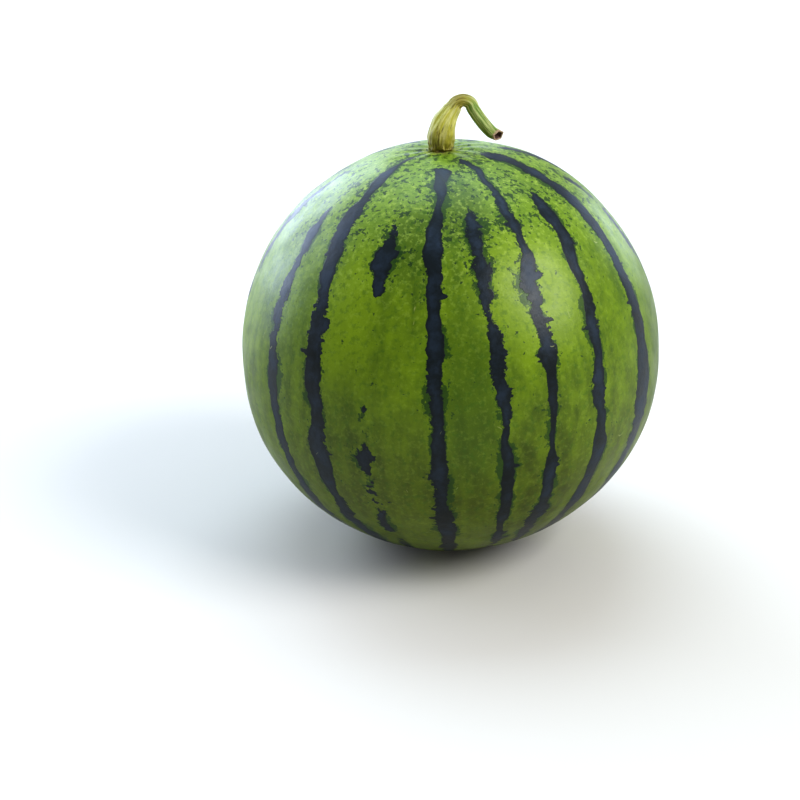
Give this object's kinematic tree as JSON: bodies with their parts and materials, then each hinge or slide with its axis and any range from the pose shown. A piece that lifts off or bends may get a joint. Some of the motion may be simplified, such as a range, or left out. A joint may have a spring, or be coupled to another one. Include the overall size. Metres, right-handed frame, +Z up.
{
  "type": "watermelon",
  "caption": "Whole, nearly round watermelon with a striped rind and a bent stem, standing on a small flat spot at its blossom end.",
  "frame": {"origin": "middle of the small flat spot underneath that the fruit rests on", "axes": "+Z up, out of the stem end; +X towards the side that the stem is bent over to; -Y towards the side that was seen"},
  "size_m": [0.1998, 0.2, 0.2189],
  "materials": {
    "rind": "waxy rind, mid green with ragged blackish green stripes from stem to blossom end",
    "stem": "dull olive green, ridged and fibrous, brown at the foot and the cut end"
  },
  "bodies": {
    "root": {"fruit": "rind", "stem": "stem"}
  },
  "joints": []
}
